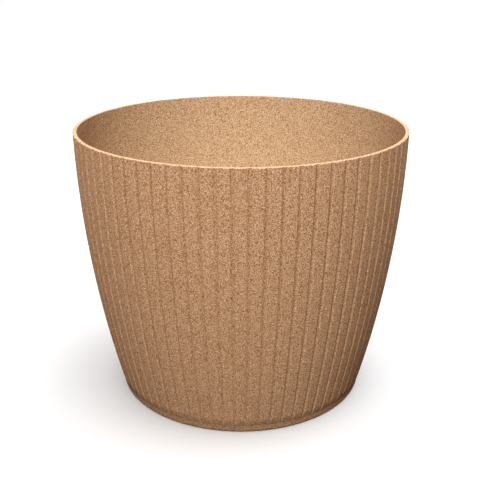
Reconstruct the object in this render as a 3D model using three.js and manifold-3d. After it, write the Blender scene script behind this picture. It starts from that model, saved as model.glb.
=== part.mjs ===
// Plastic plant pot with grooved sides and four drain stoppers.
// Millimetres, +Z up. The origin is at the middle of the foot, on the ground, and the front faces -Y.
import * as THREE from 'three';
import { mergeVertices } from 'three/addons/utils/BufferGeometryUtils.js';
import Module from 'manifold-3d';

const wasm = await Module();
wasm.setup();

// Wall
const potHeight = 198.5;
const rimRadius = 120;
const rimDraft = 0.5; // degrees from upright, at the rim
const wallThickness = 2.8;
const rimEdge = 0.4; // chamfer on both edges of the rim
const wallSteps = 6;

// Foot band: the plain strip under the grooved panels
const bandHeight = 10.8;
const bandDraft = 9; // degrees from upright
const panelEndRadius = 95.7; // the panels' surface, where they end
const panelEndDraft = 14; // degrees from upright, at the same place
const panelEndHeight = 0.7; // height of the undercut that ends each panel

// Grooves
const grooveCount = 72;
const grooveDepth = 0.85;
const grooveWidth = 3.2; // at the surface of the rim
const grooveFloorWidth = 0.8;

// Floor and foot ring
const standHeight = 6;
const floorThickness = 4;
const cornerRadius = 10;
const cornerSteps = 4;
const footRingWidth = 5;
const footRingDraft = 3; // degrees, on the inner side
const footEdge = 0.5;
const ventCount = 8;
const ventWidth = 6;
const ventHeight = 0.8;
const gateRadius = 6;
const gateDepth = 0.6;
const gateNubRadius = 1.5;
const gateNubHeight = 0.5;

// Drain holes and their stoppers
const drainCount = 4;
const drainPitch = 0.54; // as a share of the panels' radius at their ends
const drainHoleRadius = 7;
const drainFirstAngle = 45; // degrees
const plugFlangeLap = 4.5; // how far the flange covers the floor round the hole
const plugFlangeThickness = 1.8;
const plugEdge = 0.3; // chamfer on the stopper's edges
const plugTongueHalfWidth = 4;
const plugTongueLength = 5.5; // beyond the flange
const plugStemOut = 1.5; // how far a stem reaches below its boss
const plugStemWall = 2;
const plugRingHeight = 0.8; // how far the sealing rings stand off the stem
const plugLowRing = 0.68; // places of the sealing rings, as shares of the stem's length
const plugHighRing = 0.34;
const plugRoof = 1.2; // thickness over the hollow stem
const plugGap = 0.3; // clearance between a stopper and its seat
const plugSunk = 0.2; // the stopper's top lies this far under the floor
const bossMargin = 7; // boss radius beyond the drain hole
const bossHeight = 2.5;
const thumbRadius = 9;
const thumbDepth = 2;
const thumbOffset = 2.5; // from the tip of the tongue
const thumbSegments = 16;
const roundSegments = 24;

const radians = THREE.MathUtils.degToRad;
const floorTop = standHeight + floorThickness;
const drainPitchRadius = panelEndRadius * drainPitch;
const plugFlangeRadius = drainHoleRadius + plugFlangeLap;
const plugTongueReach = plugFlangeRadius + plugTongueLength;
const pocketDepth = plugFlangeThickness + plugGap + plugSunk;
const pocketFloor = floorTop - pocketDepth;
const bossBottom = standHeight - bossHeight;
const plugStemLength = pocketFloor + plugGap - bossBottom + plugStemOut;
const overshoot = 1; // how far a cutter runs past the surface it opens

// Outer surface of the panels: a smooth cubic from where they end, over the foot band, to the rim.
function wallRadius(z) {
  const run = potHeight - bandHeight;
  const t = (z - bandHeight) / run;
  const rise = t * t * (3 - 2 * t);
  const leaveFoot = t * (1 - t) * (1 - t);
  const reachRim = t * t * (t - 1);
  const footSlope = Math.tan(radians(panelEndDraft));
  const rimSlope = Math.tan(radians(rimDraft));
  return panelEndRadius + (rimRadius - panelEndRadius) * rise
    + run * (footSlope * leaveFoot + rimSlope * reachRim);
}

// The foot band carries on from the floors of the grooves.
function bandRadius(z) {
  return panelEndRadius - grooveDepth + (z - bandHeight) * Math.tan(radians(bandDraft));
}

// Heights of the wall's facet rows, from the first value to the last.
function heights(from, to, steps) {
  return Array.from({ length: steps + 1 }, (unused, i) => from + (to - from) * i / steps);
}

function point(radius, z) {
  return new THREE.Vector2(radius, z);
}

// Closed geometry to solid, and back.
function toSolid(geometry) {
  const bare = geometry.clone();
  bare.deleteAttribute('normal');
  bare.deleteAttribute('uv');
  const merged = mergeVertices(bare, 1e-5);
  return new wasm.Manifold(new wasm.Mesh({
    numProp: 3,
    vertProperties: Float32Array.from(merged.attributes.position.array),
    triVerts: Uint32Array.from(merged.index.array),
  }));
}

function toGeometry(solid) {
  const mesh = solid.getMesh();
  const geometry = new THREE.BufferGeometry();
  geometry.setAttribute('position', new THREE.BufferAttribute(mesh.vertProperties, 3));
  geometry.setIndex(new THREE.BufferAttribute(mesh.triVerts, 1));
  geometry.computeVertexNormals();
  return geometry;
}

// A profile of (radius, height) points turned about Z.
function turned(profile, segments, startAngle = 0) {
  return new THREE.LatheGeometry(profile, segments, startAngle).rotateX(Math.PI / 2);
}

// The same with one flat facet behind each panel, its middle at the profile's radius.
function faceted(profile) {
  const widen = 1 / Math.cos(Math.PI / grooveCount);
  const corners = profile.map((p) => point(p.x * widen, p.y));
  return toSolid(turned(corners, grooveCount, -Math.PI / grooveCount));
}

// An upright cylinder standing on the given height.
function cylinder(radius, bottom, height, segments = roundSegments) {
  return new THREE.CylinderGeometry(radius, radius, height, segments)
    .rotateX(Math.PI / 2)
    .translate(0, 0, bottom + height / 2);
}

// A solid through rings of equal point counts, closed by a fan round the middle of each end.
function lofted(rings) {
  const count = rings[0].length;
  const points = rings.flat();
  const first = points.length;
  const last = first + 1;
  const top = (rings.length - 1) * count;
  const middle = (ring) => new THREE.Vector3(0, 0, ring[0].z);
  const index = [];
  for (let i = 0; i < count; i += 1) {
    const next = (i + 1) % count;
    for (let row = 0; row < top; row += count) {
      index.push(row + i, row + next, row + next + count, row + i, row + next + count, row + i + count);
    }
    index.push(first, next, i);
    index.push(last, top + i, top + next);
  }
  const geometry = new THREE.BufferGeometry();
  geometry.setFromPoints([...points, middle(rings[0]), middle(rings.at(-1))]);
  geometry.setIndex(index);
  return geometry;
}

// One level of the grooved outside: a flat panel, then a groove, all the way round from the front.
function flutedRing(z, panelRadius, grooveRadius) {
  const pitch = 2 * Math.PI / grooveCount;
  const panelHalf = pitch / 2 - grooveWidth / 2 / rimRadius;
  const floorHalf = grooveFloorWidth / 2 / rimRadius;
  const corner = panelRadius / Math.cos(panelHalf);
  const at = (radius, angle) => new THREE.Vector3(radius * Math.sin(angle), -radius * Math.cos(angle), z);
  const panel = (angle) => [at(corner, angle - panelHalf), at(corner, angle + panelHalf)];
  const groove = (angle) => [at(grooveRadius, angle - floorHalf), at(grooveRadius, angle + floorHalf)];
  return Array.from({ length: grooveCount }, (unused, i) => i * pitch)
    .flatMap((angle) => [...panel(angle), ...groove(angle + pitch / 2)]);
}

// The filled outside of the pot, with its grooves running out into the foot band.
function outside() {
  const plain = (z, inset) => flutedRing(z, bandRadius(z) - inset, bandRadius(z) - inset);
  const grooved = (z, inset) => flutedRing(z, wallRadius(z) - inset, wallRadius(z) - grooveDepth);
  return lofted([
    plain(0, footEdge),
    plain(footEdge, 0),
    plain(bandHeight - panelEndHeight, 0),
    ...heights(bandHeight, potHeight - rimEdge, wallSteps).map((z) => grooved(z, 0)),
    grooved(potHeight, rimEdge),
  ]);
}

// The hollow for the plants, with a round corner between the floor and the wall.
function cavity() {
  const innerRadius = (z) => wallRadius(z) - wallThickness;
  const cornerTop = floorTop + cornerRadius * (1 - Math.sin(radians(panelEndDraft)));
  const lean = Math.atan(wallRadius(cornerTop + 0.5) - wallRadius(cornerTop - 0.5));
  const middle = point(innerRadius(cornerTop) - cornerRadius * Math.cos(lean), floorTop + cornerRadius);
  const corner = heights(-Math.PI / 2, -lean, cornerSteps).map((angle) => point(
    middle.x + cornerRadius * Math.cos(angle),
    middle.y + cornerRadius * Math.sin(angle),
  ));
  const wall = heights(corner.at(-1).y, potHeight - rimEdge, wallSteps).slice(1);
  const mouth = innerRadius(potHeight) + rimEdge;
  const profile = [
    point(0, floorTop),
    ...corner,
    ...wall.map((z) => point(innerRadius(z), z)),
    point(mouth, potHeight),
    point(mouth, potHeight + overshoot),
    point(0, potHeight + overshoot),
  ];
  return faceted(profile);
}

// The space under the floor, inside the foot ring.
function recess() {
  const radius = bandRadius(0) - footRingWidth;
  const slope = Math.tan(radians(footRingDraft));
  return faceted([
    point(0, -overshoot),
    point(radius + overshoot * slope, -overshoot),
    point(radius - standHeight * slope, standHeight),
    point(0, standHeight),
  ]);
}

// A round head with a tongue towards +X.
function keyhole(radius, halfWidth, reach) {
  const meet = Math.asin(halfWidth / radius);
  const outline = new THREE.Shape();
  outline.absarc(0, 0, radius, meet, 2 * Math.PI - meet, false);
  outline.lineTo(reach - halfWidth, -halfWidth);
  outline.absarc(reach - halfWidth, 0, halfWidth, -Math.PI / 2, Math.PI / 2, false);
  outline.closePath();
  return outline;
}

// Copies of a solid turned about Z by equal steps.
function around(solid, count, firstAngle) {
  return Array.from({ length: count }, (unused, i) => solid.rotate([0, 0, firstAngle + 360 * i / count]));
}

// What a drain hole takes out of the floor, with the tongue's pocket pointing at the pot's middle.
function drainCutter() {
  const outline = keyhole(
    plugFlangeRadius + plugGap,
    plugTongueHalfWidth + plugGap,
    plugTongueReach + plugGap,
  );
  const pocket = new THREE.ExtrudeGeometry(outline, {
    depth: pocketDepth + overshoot,
    bevelEnabled: false,
    curveSegments: roundSegments / 2,
  });
  pocket.translate(0, 0, pocketFloor);
  const thumb = new THREE.SphereGeometry(thumbRadius, thumbSegments, thumbSegments);
  thumb.rotateX(Math.PI / 2);
  thumb.translate(plugTongueReach + thumbOffset, 0, floorTop + thumbRadius - thumbDepth);
  return toSolid(cylinder(drainHoleRadius, bossBottom - overshoot, bossHeight + floorThickness))
    .add(toSolid(pocket))
    .add(toSolid(thumb))
    .rotate([0, 0, 180])
    .translate([drainPitchRadius, 0, 0]);
}

function potShell() {
  const ringMiddle = bandRadius(0) - footRingWidth / 2;
  const boss = toSolid(cylinder(drainHoleRadius + bossMargin, bossBottom, bossHeight + floorThickness / 4))
    .translate([drainPitchRadius, 0, 0]);
  const vent = toSolid(new THREE.BoxGeometry(footRingWidth * 3, ventWidth, ventHeight * 2))
    .translate([ringMiddle, 0, 0]);
  const gate = toSolid(cylinder(gateRadius, standHeight - gateDepth, gateDepth * 2))
    .subtract(toSolid(cylinder(gateNubRadius, standHeight + gateDepth - gateNubHeight, gateDepth * 2)));

  let shell = toSolid(outside()).subtract(cavity()).subtract(recess());
  for (const part of around(boss, drainCount, drainFirstAngle)) {
    shell = shell.add(part);
  }
  const cuts = [
    gate,
    ...around(drainCutter(), drainCount, drainFirstAngle),
    ...around(vent, ventCount, 180 / ventCount),
  ];
  for (const cut of cuts) {
    shell = shell.subtract(cut);
  }
  return toGeometry(shell);
}

// A soft stopper, its flange resting on z = 0: a hollow stem with two sealing rings under a flange
// whose tongue is lifted with a fingernail.
function drainPlug() {
  const sealRadius = drainHoleRadius - plugGap;
  const stemRadius = sealRadius - plugRingHeight;
  const hollowRadius = stemRadius - plugStemWall;
  const sealingRing = (z) => [
    point(stemRadius, z - plugRingHeight),
    point(sealRadius, z),
    point(stemRadius, z + plugRingHeight),
  ];
  const stem = turned([
    point(0, -plugStemLength),
    point(stemRadius - plugEdge, -plugStemLength),
    point(stemRadius, plugEdge - plugStemLength),
    ...sealingRing(-plugStemLength * plugLowRing),
    ...sealingRing(-plugStemLength * plugHighRing),
    point(stemRadius, plugFlangeThickness / 2),
    point(0, plugFlangeThickness / 2),
  ], roundSegments);
  const outline = keyhole(plugFlangeRadius, plugTongueHalfWidth, plugTongueReach);
  const flange = new THREE.ExtrudeGeometry(outline, {
    depth: plugFlangeThickness - 2 * plugEdge,
    bevelThickness: plugEdge,
    bevelSize: plugEdge,
    bevelOffset: -plugEdge,
    bevelSegments: 1,
    curveSegments: roundSegments / 2,
  });
  flange.translate(0, 0, plugEdge);
  const hollowTop = plugFlangeThickness - plugRoof;
  const hollow = cylinder(
    hollowRadius,
    -plugStemLength - overshoot,
    plugStemLength + overshoot + hollowTop,
  );
  return toGeometry(toSolid(flange).add(toSolid(stem)).subtract(toSolid(hollow)));
}

const composite = new THREE.MeshStandardMaterial({ color: 0xc59b72, roughness: 0.75, metalness: 0 });
const rubber = new THREE.MeshStandardMaterial({ color: 0x3a332c, roughness: 0.6, metalness: 0 });

const pot = new THREE.Group();

const shell = new THREE.Mesh(potShell(), composite);
shell.name = 'pot_shell';
pot.add(shell);

const plugGeometry = drainPlug();
for (let i = 0; i < drainCount; i += 1) {
  const angle = radians(drainFirstAngle) + 2 * Math.PI * i / drainCount;
  const plug = new THREE.Mesh(plugGeometry, rubber);
  plug.name = `drain_plug_${i + 1}`;
  plug.position.set(
    drainPitchRadius * Math.cos(angle),
    drainPitchRadius * Math.sin(angle),
    pocketFloor + plugGap,
  );
  plug.rotation.z = angle + Math.PI;
  pot.add(plug);
}

export default pot;
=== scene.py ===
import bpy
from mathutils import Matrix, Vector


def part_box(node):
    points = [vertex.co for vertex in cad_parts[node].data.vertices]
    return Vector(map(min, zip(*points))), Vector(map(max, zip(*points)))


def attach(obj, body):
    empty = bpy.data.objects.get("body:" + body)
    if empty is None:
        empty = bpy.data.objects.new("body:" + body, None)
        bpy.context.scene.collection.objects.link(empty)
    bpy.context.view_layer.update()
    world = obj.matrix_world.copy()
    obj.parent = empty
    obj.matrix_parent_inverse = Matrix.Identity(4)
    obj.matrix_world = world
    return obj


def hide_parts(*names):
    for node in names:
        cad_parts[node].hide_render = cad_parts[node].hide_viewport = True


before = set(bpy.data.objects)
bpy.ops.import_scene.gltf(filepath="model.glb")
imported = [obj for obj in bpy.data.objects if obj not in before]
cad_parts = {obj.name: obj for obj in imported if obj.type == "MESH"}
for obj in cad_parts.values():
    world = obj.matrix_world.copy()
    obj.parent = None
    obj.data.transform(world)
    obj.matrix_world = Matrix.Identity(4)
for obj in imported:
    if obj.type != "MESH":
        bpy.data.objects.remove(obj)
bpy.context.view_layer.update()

import bmesh
import bpy
import numpy as np
from mathutils import Matrix, Vector

# Pot shell: outside, rim and inside wall
# One injection moulding in polypropylene filled with fine wood fibre. The wall bulges and tapers
# to the foot, and 72 shallow grooves run down it from the rim to a plain band set back at the foot.
MM = 0.001
rim_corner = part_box("pot_shell")[1]
POT_HEIGHT = rim_corner.z
RIM_RADIUS = round(rim_corner.x, 4)
RIM_DRAFT = np.radians(0.5)
WALL = 2.8 * MM
EDGE = 0.4 * MM
BAND_HEIGHT = 10.8 * MM
BAND_DRAFT = np.radians(9)
PANEL_END_RADIUS = 95.7 * MM
PANEL_END_DRAFT = np.radians(14)
PANEL_UNDERCUT = 5.5 * MM
PANEL_END_LIP = 0.8 * MM
PANEL_END_ROUND = 0.35 * MM
BAND_EASE = 0.5 * MM
BAND_ROUND = 0.25 * MM
GROOVES = 72
GROOVE_DEPTH = 0.85 * MM
GROOVE_END_DEPTH = 0.55 * MM
GROOVE_WIDTH = 3.4 * MM
GROOVE_FLOOR = 0.8 * MM
GROOVE_FLOOR_ROUND = 0.2 * MM
GROOVE_LIP_ROUND = 0.3 * MM
GROOVE_END_ROUND = 0.4 * MM
FLOOR_TOP = 10 * MM
CORNER_RADIUS = 10 * MM
STAND = 6 * MM
FOOT_EDGE = 1.2 * MM
RING_WIDTH = 5 * MM
RING_SLOPE = np.tan(np.radians(3))
RING_FILLET = 1 * MM
VENTS = 8
VENT_HEIGHT = 0.8 * MM
VENT_HALF = 3 * MM
VENT_SIDE = 1.2 * MM
PLATE_RADIUS = 80 * MM
OUTER_ROWS = 18
INNER_ROWS = 14
CORNER_ROWS = 8


def wall_radius(z):
    """Outside of the panels: a cubic in height from where they end, over the foot band, to the rim,
    with a given slope at each end."""
    run = POT_HEIGHT - BAND_HEIGHT
    t = (z - BAND_HEIGHT) / run
    rise = t * t * (3 - 2 * t)
    slopes = np.tan(PANEL_END_DRAFT) * t * (1 - t) ** 2 + np.tan(RIM_DRAFT) * t * t * (t - 1)
    return PANEL_END_RADIUS + (RIM_RADIUS - PANEL_END_RADIUS) * rise + run * slopes


def softened(corners, reach, steps):
    """A path through corner points, with each inner corner replaced by a parabola that leaves and
    meets the straight stretches at the given reach from the corner: (1-t)^2 A + 2t(1-t) B + t^2 C."""
    corners = np.asarray(corners, float)
    path = [corners[:1]]
    for before, corner, after, length, count in zip(corners, corners[1:], corners[2:], reach, steps):
        t = np.linspace(0, 1, count + 1)[:, None]
        start = corner + (before - corner) * length / np.linalg.norm(before - corner)
        end = corner + (after - corner) * length / np.linalg.norm(after - corner)
        path.append((1 - t) ** 2 * start + 2 * t * (1 - t) * corner + t ** 2 * end)
    return np.concatenate([*path, corners[-1:]])


def wall_point(inset, z):
    """A point of the wall's outline, set back by a thickness."""
    return wall_radius(z) - inset, z


def wall_line(inset, low, high, count):
    """Points of the wall's outline at even heights, set back by one thickness or by one for each."""
    return np.column_stack(wall_point(inset, np.linspace(low, high, count)))


def band_point(z):
    """A point of the foot band, a straight line down from the floors of the grooves."""
    return PANEL_END_RADIUS - GROOVE_DEPTH + (z - BAND_HEIGHT) * np.tan(BAND_DRAFT), z


def groove_section():
    """Across one pitch, from the middle of a groove: distance along the rim, and how much of the
    groove's depth is cut there, from 1 on its floor to 0 on the panel."""
    half_pitch = np.pi * RIM_RADIUS / GROOVES
    half = softened([(0, GROOVE_DEPTH), (GROOVE_FLOOR / 2, GROOVE_DEPTH), (GROOVE_WIDTH / 2, 0),
                     (half_pitch, 0)], reach=(GROOVE_FLOOR_ROUND, GROOVE_LIP_ROUND), steps=(2, 3))
    mirrored = half[-2:0:-1] * (-1, 1)
    section = np.concatenate([half, mirrored + (2 * half_pitch, 0)])
    return section[:, 0], section[:, 1] / GROOVE_DEPTH


def inner_corner():
    """The round corner between wall and floor: a quarter circle that starts at the wall's own lean."""
    top = FLOOR_TOP + CORNER_RADIUS * (1 - np.sin(PANEL_END_DRAFT))
    step = 0.5 * MM
    lean = np.arctan((wall_radius(top + step) - wall_radius(top - step)) / (2 * step))
    turn = np.linspace(-lean, -np.pi / 2, CORNER_ROWS)
    middle = wall_radius(top) - WALL - CORNER_RADIUS * np.cos(lean)
    return np.column_stack([middle + CORNER_RADIUS * np.cos(turn),
                            FLOOR_TOP + CORNER_RADIUS + CORNER_RADIUS * np.sin(turn)])


def shell_grid():
    """The shell's skin as rings of points: the panels' outline and the groove floors' outline,
    blended ring by ring with the groove's cross-section carried round the pot. Both run from the
    plate's underside round the foot ring, up the outside, over the rim and down to the floor."""
    lip_top = BAND_HEIGHT + PANEL_END_LIP
    undercut = BAND_HEIGHT - PANEL_UNDERCUT
    band_end = undercut - BAND_EASE
    foot_radius = band_point(0)[0]
    ring_inside = foot_radius - RING_WIDTH
    foot = softened([(PLATE_RADIUS, STAND), (ring_inside - STAND * RING_SLOPE, STAND), (ring_inside, 0),
                     (foot_radius, 0), band_point(band_end)],
                    reach=(RING_FILLET, FOOT_EDGE, FOOT_EDGE), steps=(3, 3, 4))
    panel_end = softened([band_point(band_end), band_point(undercut), wall_point(0, BAND_HEIGHT),
                          wall_point(0, lip_top)],
                         reach=(BAND_ROUND, PANEL_END_ROUND), steps=(2, 3))[1:]
    groove_end = softened([band_point(band_end), band_point(undercut),
                           wall_point(GROOVE_END_DEPTH, lip_top)],
                          reach=(GROOVE_END_ROUND,), steps=(len(panel_end) - 2,))[1:]

    rim_low = POT_HEIGHT - 2 * EDGE
    depths = np.linspace(GROOVE_END_DEPTH, GROOVE_DEPTH, OUTER_ROWS)
    panels = wall_line(0, lip_top, rim_low, OUTER_ROWS)[1:]
    grooves = wall_line(depths, lip_top, rim_low, OUTER_ROWS)[1:]

    inner_lip = RIM_RADIUS - WALL
    rim_flat = (inner_lip + 2 * EDGE, POT_HEIGHT)
    rim_panel = softened([tuple(panels[-1]), (RIM_RADIUS, POT_HEIGHT), rim_flat],
                         reach=(EDGE,), steps=(4,))[1:]
    rim_groove = softened([tuple(grooves[-1]), (RIM_RADIUS - GROOVE_DEPTH, POT_HEIGHT), rim_flat],
                          reach=(EDGE / 2,), steps=(4,))[1:]
    lip = softened([rim_flat, (inner_lip, POT_HEIGHT), wall_point(WALL, rim_low)],
                   reach=(EDGE,), steps=(4,))[1:]
    corner = inner_corner()
    inner_wall = wall_line(WALL, rim_low, corner[0, 1], INNER_ROWS)[1:-1]
    floor_edge = [(PLATE_RADIUS, FLOOR_TOP)]
    outline = np.concatenate([foot, panel_end, panels, rim_panel, lip, inner_wall, corner, floor_edge])
    cut = np.concatenate([foot, groove_end, grooves, rim_groove, lip, inner_wall, corner, floor_edge])

    along, depth = groove_section()
    pitch = 2 * np.pi / GROOVES
    angle = (np.arange(GROOVES)[:, None] * pitch + pitch / 2 + along / RIM_RADIUS).ravel()
    share = np.tile(depth, GROOVES)[None, :, None]
    blend = outline[:, None] * (1 - share) + cut[:, None] * share
    radius, z = blend[..., 0], blend[..., 1]
    vent_pitch = 2 * np.pi / VENTS
    off_vent = np.abs((angle % vent_pitch) - vent_pitch / 2) * radius
    vent = VENT_HEIGHT * np.clip((VENT_HALF - off_vent) / VENT_SIDE + 0.5, 0, 1)
    z = np.maximum(z, vent)
    return np.stack([radius * np.sin(angle), -radius * np.cos(angle), z], axis=-1)


def grid_mesh(name, points):
    """A mesh of quads from rings of points, closed round each ring and open at both ends."""
    rings, count = points.shape[:2]
    corner = np.arange((rings - 1) * count).reshape(rings - 1, count)
    beside = np.roll(corner, -1, axis=1)
    quads = np.stack([corner, beside, beside + count, corner + count], axis=-1).reshape(-1, 4)
    mesh = bpy.data.meshes.new(name)
    mesh.from_pydata(points.reshape(-1, 3), [], quads.tolist())
    return mesh


# Pot shell: floor plate
# The floor is part of the same moulding: a flat plate with four drain holes in sunk seats, a boss
# under each hole and the mark of the gate in the middle of the underside.
DRAINS = 4
DRAIN_PITCH_RADIUS = 0.54 * PANEL_END_RADIUS
DRAIN_FIRST_ANGLE = np.radians(45)
HOLE_RADIUS = 7 * MM
BOSS_RADIUS = 14 * MM
BOSS_HEIGHT = 2.5 * MM
SEAT_RADIUS = 11.8 * MM
SEAT_DEPTH = 2.3 * MM
TONGUE_SEAT_HALF = 4.3 * MM
TONGUE_SEAT_REACH = 17.3 * MM
THUMB_RADIUS = 9 * MM
THUMB_DEPTH = 2 * MM
THUMB_AT = 19.5 * MM
GATE_RADIUS = 6 * MM
GATE_DEPTH = 0.6 * MM
NUB_RADIUS = 1.5 * MM
NUB_TOP = 0.1 * MM
PLATE_EDGE = 0.25 * MM
SHARP_ANGLE = np.radians(28.65)
OVERSHOOT = 1 * MM
WELD = 0.002 * MM


def keyhole(radius, half_width, reach, around=72, tip=24, along=8):
    """A round head with a tongue towards +X: the head's arc, then a half circle at the tongue's end."""
    meet = np.arcsin(half_width / radius)
    head = np.linspace(meet, 2 * np.pi - meet, around)
    end = np.linspace(-np.pi / 2, np.pi / 2, tip)
    side = np.linspace(0, 1, along)[1:-1]
    root, shoulder = radius * np.cos(meet), reach - half_width
    low_side = np.column_stack([root + (shoulder - root) * side, np.full(len(side), -half_width)])
    return np.concatenate([
        radius * np.column_stack([np.cos(head), np.sin(head)]),
        low_side,
        np.column_stack([shoulder + half_width * np.cos(end), half_width * np.sin(end)]),
        low_side[::-1] * (1, -1)])


def stacked(name, outlines, heights):
    """A closed solid from flat outlines of as many points each, counter-clockwise, one per height,
    from the lowest up, capped at both ends."""
    count = len(outlines[0])
    rings = np.concatenate([np.column_stack([outline, np.full(count, z)])
                            for outline, z in zip(outlines, heights)])
    corner = np.arange(len(rings) - count).reshape(-1, count)
    beside = np.roll(corner, -1, axis=1)
    sides = np.stack([corner, beside, beside + count, corner + count], axis=-1).reshape(-1, 4).tolist()
    ends = [list(range(count))[::-1], list(range(len(rings) - count, len(rings)))]
    mesh = bpy.data.meshes.new(name)
    mesh.from_pydata(rings, [], sides + ends)
    return mesh


def prism(name, outline, low, high):
    """A closed upright solid over a flat outline."""
    return stacked(name, [outline, outline], [low, high])


def disc(radius, count=64):
    """Points of a circle."""
    turn = np.arange(count) * 2 * np.pi / count
    return radius * np.column_stack([np.cos(turn), np.sin(turn)])


def placed(outline, angle):
    """An outline turned about Z so that its +X looks at the pot's middle from its drain hole."""
    c, s = np.cos(angle), np.sin(angle)
    turned = -outline @ np.array([[c, s], [-s, c]])
    return turned + DRAIN_PITCH_RADIUS * np.array([c, s])


def combined(plate, tool, operation):
    """The plate's mesh after one exact boolean with a tool mesh."""
    base = bpy.data.objects.new("plate", plate)
    other = bpy.data.objects.new("tool", tool)
    for obj in (base, other):
        bpy.context.scene.collection.objects.link(obj)
    step = base.modifiers.new("cut", "BOOLEAN")
    step.operation = operation
    step.solver = "EXACT"
    step.object = other
    result = bpy.data.meshes.new_from_object(base.evaluated_get(bpy.context.evaluated_depsgraph_get()))
    for obj in (base, other):
        bpy.data.objects.remove(obj)
    return result


def thumb_scoop(angle):
    """A ball whose lowest part dents the floor in front of a tongue."""
    mesh = bpy.data.meshes.new("scoop")
    ball = bmesh.new()
    bmesh.ops.create_uvsphere(ball, u_segments=64, v_segments=48, radius=THUMB_RADIUS)
    at = placed(np.array([[THUMB_AT, 0.0]]), angle)[0]
    bmesh.ops.translate(ball, verts=ball.verts, vec=(at[0], at[1], FLOOR_TOP + THUMB_RADIUS - THUMB_DEPTH))
    ball.to_mesh(mesh)
    ball.free()
    return mesh


def floor_plate(rim_points):
    """The plate with its bosses joined on and its seats, holes and gate mark cut out, then with its
    edges softened. Its outer wall is left off, to meet the shell's skin there."""
    plate = prism("plate", rim_points, STAND, FLOOR_TOP)
    for i in range(DRAINS):
        angle = DRAIN_FIRST_ANGLE + i * 2 * np.pi / DRAINS
        boss = prism("boss", placed(disc(BOSS_RADIUS), angle), STAND - BOSS_HEIGHT, STAND + OVERSHOOT)
        seat = prism("seat", placed(keyhole(SEAT_RADIUS, TONGUE_SEAT_HALF, TONGUE_SEAT_REACH), angle),
                     FLOOR_TOP - SEAT_DEPTH, FLOOR_TOP + OVERSHOOT)
        hole = prism("hole", placed(disc(HOLE_RADIUS), angle), 0, FLOOR_TOP)
        plate = combined(plate, boss, "UNION")
        for cutter in (seat, hole, thumb_scoop(angle)):
            plate = combined(plate, cutter, "DIFFERENCE")
    gate = combined(prism("gate", disc(GATE_RADIUS), STAND - OVERSHOOT, STAND + GATE_DEPTH),
                    prism("nub", disc(NUB_RADIUS), STAND + NUB_TOP, FLOOR_TOP), "DIFFERENCE")
    plate = combined(plate, gate, "DIFFERENCE")

    work = bmesh.new()
    work.from_mesh(plate)
    outer = [face for face in work.faces
             if abs(face.normal.z) < 0.5 and face.calc_center_median().xy.length > 0.999 * PLATE_RADIUS]
    bmesh.ops.delete(work, geom=outer, context="FACES")
    sharp = [edge for edge in work.edges
             if len(edge.link_faces) == 2 and edge.calc_face_angle() > SHARP_ANGLE]
    bmesh.ops.bevel(work, geom=sharp, offset=PLATE_EDGE, segments=2, profile=0.5, affect="EDGES",
                    clamp_overlap=True)
    work.to_mesh(plate)
    work.free()
    return plate


skin = shell_grid()
shell_mesh = grid_mesh("pot_shell_skin", skin)
joined = bmesh.new()
joined.from_mesh(shell_mesh)
joined.from_mesh(floor_plate(skin[0, :, :2]))
bmesh.ops.remove_doubles(joined, verts=joined.verts, dist=WELD)
joined.to_mesh(shell_mesh)
joined.free()
shell_mesh.shade_smooth()

# Three shares for the material, at each point: inside is 1 on the inner wall and the floor; the
# rim's share rises to 1 over the rim's edge, for a painted highlight there; and the recess share is
# 0 on a panel, 1 on a groove's floor and up to 2 on the foot band, for painted shade in both. The
# skin counts as outside down to nearly a wall's thickness under the panels.
spots = np.empty(3 * len(shell_mesh.vertices))
shell_mesh.vertices.foreach_get("co", spots)
x, y, z = spots.reshape(-1, 3).T
from_panel = wall_radius(np.maximum(z, BAND_HEIGHT)) - np.hypot(x, y)
outside = from_panel < 0.98 * WALL
inside = ~outside & (z > FLOOR_TOP - 0.5 * MM)
rim_highlight = np.clip((z - POT_HEIGHT) / (2 * EDGE) + 1, 0, 1)
# Painted shade: this share darkens the grooves' floors and the set-back foot band below.
painted_shade_depth = outside * np.clip(from_panel / GROOVE_DEPTH, 0, 2) * (1 - rim_highlight)
for name, values in (("inside", inside), ("painted_shade_depth", painted_shade_depth), ("rim_highlight", rim_highlight)):
    shell_mesh.attributes.new(name, "FLOAT", "POINT").data.foreach_set("value", values.astype(float))

pot_shell = bpy.data.objects.new("pot_shell_fine", shell_mesh)
bpy.context.scene.collection.objects.link(pot_shell)
pot_shell.modifiers.new("flat_panels", "WEIGHTED_NORMAL")
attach(pot_shell, "pot")
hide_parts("pot_shell")


def linear(hex_colour):
    """An sRGB hex value as a linear colour with alpha."""
    srgb = np.array([int(hex_colour[i:i + 2], 16) for i in (1, 3, 5)]) / 255
    rgb = np.where(srgb <= 0.04045, srgb / 12.92, ((srgb + 0.055) / 1.055) ** 2.4)
    return (*rgb, 1.0)


def add_node(tree, kind, inputs, **settings):
    """Adds a node, sets its own settings, and gives each input a value or links it to an output."""
    node = tree.nodes.new(kind)
    for name, value in settings.items():
        setattr(node, name, value)
    for name, value in inputs.items():
        if isinstance(value, bpy.types.NodeSocket):
            tree.links.new(value, node.inputs[name])
        else:
            node.inputs[name].default_value = value
    return node


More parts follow.
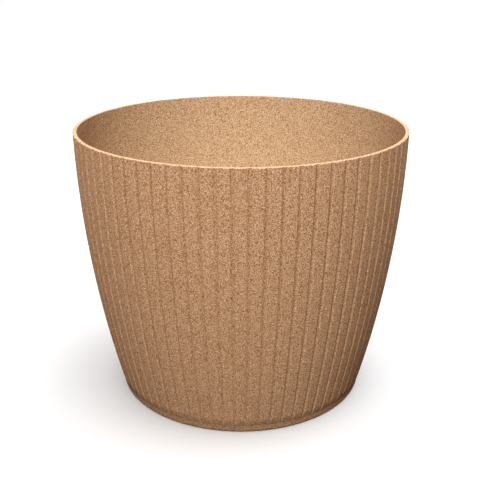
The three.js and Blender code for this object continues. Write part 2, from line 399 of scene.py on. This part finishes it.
# Polypropylene filled with wood flour, injection moulded. The flour gives a matt tan wall of dark
# and light grains, like fine sawn wood, and the ends of fibres at the skin show as pale specks.
# Real grains and fibre ends, at 0.1 to 0.4 mm, are too fine to show in the render, so both are
# drawn coarser. The mottle is where the melt flowed unevenly.
GRAIN_MM = 0.75
GRAIN_CONTRAST = 1.45
GRAIN_LIGHTEST = 1.17
SPECK_MM = 0.5
SPECK_RARITY = 0.9
SPECK_LIFT = 0.45
MOTTLE_MM = 9.0
MOTTLE_CONTRAST = 0.012
GRAIN_TONES = ((0.0, "#9E6E46"), (0.5, "#CDA176"), (0.86, "#E7C49A"), (1.0, "#FFEFDA"))
composite = bpy.data.materials.new("wood_fibre_polypropylene")
composite.use_nodes = True
tree = composite.node_tree
shader = tree.nodes["Principled BSDF"]
place = add_node(tree, "ShaderNodeTexCoord", {})
mm = add_node(tree, "ShaderNodeVectorMath", {0: place.outputs["Object"], "Scale": 1000.0},
              operation="SCALE")
grains = add_node(tree, "ShaderNodeTexVoronoi", {"Vector": mm.outputs[0], "Scale": 1 / GRAIN_MM})
body = add_node(tree, "ShaderNodeMath",
                {0: grains.outputs["Distance"], 1: -GRAIN_CONTRAST, 2: GRAIN_LIGHTEST},
                operation="MULTIPLY_ADD")
fibres = add_node(tree, "ShaderNodeTexVoronoi", {"Vector": mm.outputs[0], "Scale": 1 / SPECK_MM})
chance = add_node(tree, "ShaderNodeSeparateColor", {"Color": fibres.outputs["Color"]})
speck = add_node(tree, "ShaderNodeMapRange",
                 {"Value": chance.outputs["Red"], "From Min": SPECK_RARITY, "To Max": SPECK_LIFT})
mottle = add_node(tree, "ShaderNodeTexNoise",
                  {"Vector": mm.outputs[0], "Scale": 1 / MOTTLE_MM, "Detail": 2.0})
cloud = add_node(tree, "ShaderNodeMath",
                 {0: mottle.outputs["Fac"], 1: MOTTLE_CONTRAST, 2: -MOTTLE_CONTRAST / 2},
                 operation="MULTIPLY_ADD")
sown = add_node(tree, "ShaderNodeMath", {0: body.outputs[0], 1: speck.outputs[0]}, operation="ADD")
level = add_node(tree, "ShaderNodeMath", {0: sown.outputs[0], 1: cloud.outputs[0]}, operation="ADD")
tone = add_node(tree, "ShaderNodeValToRGB", {"Fac": level.outputs[0]})
ramp = tone.color_ramp
ramp.elements.remove(ramp.elements[1])
ramp.elements[0].color = linear(GRAIN_TONES[0][1])
for position, colour in GRAIN_TONES[1:]:
    ramp.elements.new(position).color = linear(colour)

# The inner wall and floor are drawn a little greyer. The grooves' floors and the foot band set back
# under the panels are painted darker the deeper they lie, as painted shade, and the rim's edge is
# painted paler, as a painted highlight.
INSIDE_TINT = (0.94, 1.07, 1.15, 1.0)
PAINTED_SHADE_STRENGTH = 0.15
RIM_HIGHLIGHT_SHARE = 0.1
inner = add_node(tree, "ShaderNodeAttribute", {}, attribute_name="inside")
greyer = add_node(tree, "ShaderNodeMix", {0: 1.0, 6: tone.outputs["Color"], 7: INSIDE_TINT},
                  data_type="RGBA", blend_type="MULTIPLY")
inside_toned = add_node(tree, "ShaderNodeMix",
                   {0: inner.outputs["Fac"], 6: tone.outputs["Color"], 7: greyer.outputs[2]},
                   data_type="RGBA")
painted_shade_attribute = add_node(tree, "ShaderNodeAttribute", {}, attribute_name="painted_shade_depth")
painted_shade_factor = add_node(tree, "ShaderNodeMath", {0: painted_shade_attribute.outputs["Fac"], 1: -PAINTED_SHADE_STRENGTH, 2: 1.0},
                  operation="MULTIPLY_ADD")
with_painted_shade = add_node(tree, "ShaderNodeVectorMath", {0: inside_toned.outputs[2], "Scale": painted_shade_factor.outputs[0]},
                  operation="SCALE")
# Painted highlight: the rim's edge is mixed a little towards pale cream, standing in for light caught
# there.
rim_highlight_edge = add_node(tree, "ShaderNodeAttribute", {}, attribute_name="rim_highlight")
rim_highlight_amount = add_node(tree, "ShaderNodeMath", {0: rim_highlight_edge.outputs["Fac"], 1: RIM_HIGHLIGHT_SHARE}, operation="MULTIPLY")
rim_highlight_tone = add_node(tree, "ShaderNodeMix",
                     {0: rim_highlight_amount.outputs[0], 6: with_painted_shade.outputs[0], 7: linear("#FFF3E0")},
                     data_type="RGBA")
tree.links.new(rim_highlight_tone.outputs[2], shader.inputs["Base Color"])
shader.inputs["Roughness"].default_value = 0.95
shader.inputs["Specular IOR Level"].default_value = 0.2
pot_shell.data.materials.append(composite)

# Drain stoppers
# Four alike, each moulded in one piece from soft dark rubber: a hollow stem with two sealing rings
# under a thin flange, whose tongue is lifted with a fingernail.
PLUG_FLANGE_RADIUS = 11.5 * MM
PLUG_TONGUE_HALF = 4 * MM
PLUG_TONGUE_REACH = 17 * MM
PLUG_THICKNESS = 1.8 * MM
PLUG_EDGE = 0.45 * MM
PLUG_LIP = 1.3 * MM
PLUG_DISH = 0.3 * MM
PLUG_STEM_RADIUS = 5.9 * MM
PLUG_STEM_LENGTH = 6 * MM
PLUG_RING_HEIGHT = 0.8 * MM
PLUG_RINGS = (-0.68 * PLUG_STEM_LENGTH, -0.34 * PLUG_STEM_LENGTH)
PLUG_HOLLOW_RADIUS = 3.9 * MM
PLUG_ROOF = 1.2 * MM
PLUG_REST = FLOOR_TOP - 2 * MM
PLUG_SHARP_ANGLE = np.radians(40)
PLUG_EDGE_ROWS = 10
PLUG_STEM_ROWS = 49


def stopper_mesh():
    """One stopper with its flange resting on z = 0: the flange's edge is a half round, inside which
    its top is dished. Each sealing ring swells from the stem as 1 - (d / h)^2, with d the distance
    from the ring's middle and h its height."""
    turn = np.linspace(-np.pi / 2, np.pi / 2, PLUG_EDGE_ROWS)
    half_round = PLUG_EDGE + PLUG_EDGE * np.sin(turn) + (turn > 0) * (PLUG_THICKNESS - 2 * PLUG_EDGE)
    insets = [*(PLUG_EDGE * (1 - np.cos(turn))), PLUG_LIP, PLUG_LIP + PLUG_DISH]
    heights = [*half_round, PLUG_THICKNESS, PLUG_THICKNESS - PLUG_DISH]
    outlines = [keyhole(PLUG_FLANGE_RADIUS - inset, PLUG_TONGUE_HALF - inset, PLUG_TONGUE_REACH - inset)
                for inset in insets]
    flange = stacked("flange", outlines, heights)
    z = np.linspace(-PLUG_STEM_LENGTH, PLUG_THICKNESS / 2, PLUG_STEM_ROWS)
    swell = sum(np.clip(1 - ((z - ring) / PLUG_RING_HEIGHT) ** 2, 0, 1) for ring in PLUG_RINGS)
    end_edge = np.clip(PLUG_EDGE - (z + PLUG_STEM_LENGTH), 0, PLUG_EDGE)
    radii = PLUG_STEM_RADIUS + PLUG_RING_HEIGHT * swell - end_edge
    stem = stacked("stem", [disc(radius) for radius in radii], z)
    hollow = prism("hollow", disc(PLUG_HOLLOW_RADIUS), -PLUG_STEM_LENGTH - OVERSHOOT,
                   PLUG_THICKNESS - PLUG_ROOF)
    mesh = combined(combined(flange, stem, "UNION"), hollow, "DIFFERENCE")
    mesh.shade_smooth()
    mesh.set_sharp_from_angle(angle=PLUG_SHARP_ANGLE)
    return mesh


# Rubber, matt from the mould, a little paler and rougher where soil has rubbed it. The mould's
# own grain, at 0.05 mm, is too fine to show, so it is drawn coarser.
SMUDGE_MM = 4.0
SKIN_MM = 0.4
SKIN_RELIEF = 0.05 * MM
rubber = bpy.data.materials.new("dark_rubber")
rubber.use_nodes = True
tree = rubber.node_tree
shader = tree.nodes["Principled BSDF"]
place = add_node(tree, "ShaderNodeTexCoord", {})
mm = add_node(tree, "ShaderNodeVectorMath", {0: place.outputs["Object"], "Scale": 1000.0},
              operation="SCALE")
smudge = add_node(tree, "ShaderNodeTexNoise",
                  {"Vector": mm.outputs[0], "Scale": 1 / SMUDGE_MM, "Detail": 4.0})
skin_tone = add_node(tree, "ShaderNodeMix",
                     {0: smudge.outputs["Fac"], 6: linear("#2E2823"), 7: linear("#4C443B")},
                     data_type="RGBA")
tree.links.new(skin_tone.outputs[2], shader.inputs["Base Color"])
matt_level = add_node(tree, "ShaderNodeMapRange",
                      {"Value": smudge.outputs["Fac"], "To Min": 0.5, "To Max": 0.8})
tree.links.new(matt_level.outputs[0], shader.inputs["Roughness"])
fine = add_node(tree, "ShaderNodeTexNoise", {"Vector": mm.outputs[0], "Scale": 1 / SKIN_MM})
relief = add_node(tree, "ShaderNodeBump",
                  {"Height": fine.outputs["Fac"], "Strength": 0.3, "Distance": SKIN_RELIEF})
tree.links.new(relief.outputs[0], shader.inputs["Normal"])

for i in range(DRAINS):
    angle = DRAIN_FIRST_ANGLE + i * 2 * np.pi / DRAINS
    mesh = stopper_mesh()
    at = (DRAIN_PITCH_RADIUS * np.cos(angle), DRAIN_PITCH_RADIUS * np.sin(angle), PLUG_REST)
    mesh.transform(Matrix.Translation(at) @ Matrix.Rotation(angle + np.pi, 4, "Z"))
    mesh.materials.append(rubber)
    stopper = bpy.data.objects.new(f"drain_stopper_{i + 1}", mesh)
    bpy.context.scene.collection.objects.link(stopper)
    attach(stopper, f"plug_{i + 1}")
    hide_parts(f"drain_plug_{i + 1}")

# Floor and backdrop
# A plain matt studio floor that runs on into a white background, and lies a hair under the foot.
# Its near white is what the camera and reflections see. The light that it scatters onto the pot is
# that of a dark warm floor, and the world's is dim and warm too.
FLOOR_HALF = 4.0
FLOOR_THICKNESS = 20 * MM
FLOOR_GAP = 0.1 * MM
floor_outline = FLOOR_HALF * np.array([(-1, -1), (1, -1), (1, 1), (-1, 1)])
floor_mesh = prism("floor", floor_outline, -FLOOR_THICKNESS, -FLOOR_GAP)
floor = bpy.data.objects.new("floor", floor_mesh)
bpy.context.scene.collection.objects.link(floor)


def seen(tree):
    """1 for a ray from the camera, a reflection or a clear material, and 0 for the light that the
    background spreads: the larger of Is Camera Ray, Is Glossy Ray and Is Transmission Ray."""
    ray = add_node(tree, "ShaderNodeLightPath", {})
    direct = add_node(tree, "ShaderNodeMath",
                      {0: ray.outputs["Is Camera Ray"], 1: ray.outputs["Is Glossy Ray"]},
                      operation="MAXIMUM")
    return add_node(tree, "ShaderNodeMath",
                    {0: direct.outputs[0], 1: ray.outputs["Is Transmission Ray"]},
                    operation="MAXIMUM").outputs[0]


pale = bpy.data.materials.new("pale_floor")
pale.use_nodes = True
shade = add_node(pale.node_tree, "ShaderNodeMix",
                 {0: seen(pale.node_tree), 6: linear("#3F3027"), 7: linear("#EFF2F3")},
                 data_type="RGBA")
matt = pale.node_tree.nodes["Principled BSDF"]
pale.node_tree.links.new(shade.outputs[2], matt.inputs["Base Color"])
matt.inputs["Roughness"].default_value = 1.0
matt.inputs["Specular IOR Level"].default_value = 0.0
floor.data.materials.append(pale)

AMBIENT_LEVEL = 0.06
world = bpy.data.worlds.new("studio")
world.use_nodes = True
sky = world.node_tree
ambient = sky.nodes["Background"]
ambient.inputs["Color"].default_value = linear("#FF8048")
ambient.inputs["Strength"].default_value = AMBIENT_LEVEL
white = add_node(sky, "ShaderNodeBackground", {"Color": linear("#FFFFFF"), "Strength": 1.0})
both = add_node(sky, "ShaderNodeMixShader", {0: seen(sky), 1: ambient.outputs[0], 2: white.outputs[0]})
sky.links.new(both.outputs[0], sky.nodes["World Output"].inputs["Surface"])
bpy.context.scene.world = world

# Lamps
# The pot has a small soft key lamp high in front, a little to its left, two weak warm fills at its
# sides and a large lamp behind. The floor has lamps of its own, so that its white is set apart from
# the pot's level: a wide one overhead and one at the right, which lays the shadow to the left.
only_floor = bpy.data.collections.new("only_floor")
only_floor.objects.link(floor)
all_but_floor = bpy.data.collections.new("all_but_floor")
all_but_floor.objects.link(floor)
all_but_floor.collection_objects[0].light_linking.link_state = "EXCLUDE"


def sun(name, azimuth, elevation, level, spread, lights, colour="#FFFFFF"):
    """A soft distant lamp. Azimuth 0 is in front of the pot and 90 to its right. At level 1 a surface
    that faces it squarely renders in the colour that it is written in."""
    lamp = bpy.data.lights.new(name, "SUN")
    lamp.energy = level * np.pi
    lamp.color = linear(colour)[:3]
    lamp.angle = np.radians(spread)
    obj = bpy.data.objects.new(name, lamp)
    a, e = np.radians(azimuth), np.radians(elevation)
    towards = Vector((np.sin(a) * np.cos(e), -np.cos(a) * np.cos(e), np.sin(e)))
    obj.rotation_euler = towards.to_track_quat("Z", "Y").to_euler()
    obj.light_linking.receiver_collection = lights
    bpy.context.scene.collection.objects.link(obj)


sun("key", azimuth=-6, elevation=58, level=1.57, spread=12, lights=all_but_floor)
sun("left_fill", azimuth=-50, elevation=30, level=0.03, spread=50, lights=all_but_floor, colour="#FF7038")
sun("right_fill", azimuth=30, elevation=50, level=0.03, spread=50, lights=all_but_floor, colour="#FF7038")
sun("back", azimuth=180, elevation=20, level=0.85, spread=100, lights=all_but_floor)
sun("floor_dome", azimuth=0, elevation=89, level=1.36, spread=120, lights=only_floor)
sun("floor_right", azimuth=90, elevation=70, level=0.25, spread=40, lights=only_floor)

# Camera
# At the photograph's angle: a little above the rim and looking down into the pot.
FRAME_PIXELS = 480
FOCAL_PIXELS = 786.6
SHIFT_PIXELS = -1
CAMERA_DISTANCE = 564 * MM
CAMERA_ABOVE_RIM = 121.1 * MM
CAMERA_DIP = np.radians(20.46)
camera = bpy.data.cameras.new("camera")
camera.sensor_width = 36
camera.lens = camera.sensor_width * FOCAL_PIXELS / FRAME_PIXELS
camera.shift_x = SHIFT_PIXELS / FRAME_PIXELS
view = bpy.data.objects.new("camera", camera)
view.location = (0, -CAMERA_DISTANCE, POT_HEIGHT + CAMERA_ABOVE_RIM)
view.rotation_euler = (np.pi / 2 - CAMERA_DIP, 0, 0)
bpy.context.scene.collection.objects.link(view)
bpy.context.scene.camera = view

bpy.context.scene.view_settings.view_transform = "Standard"
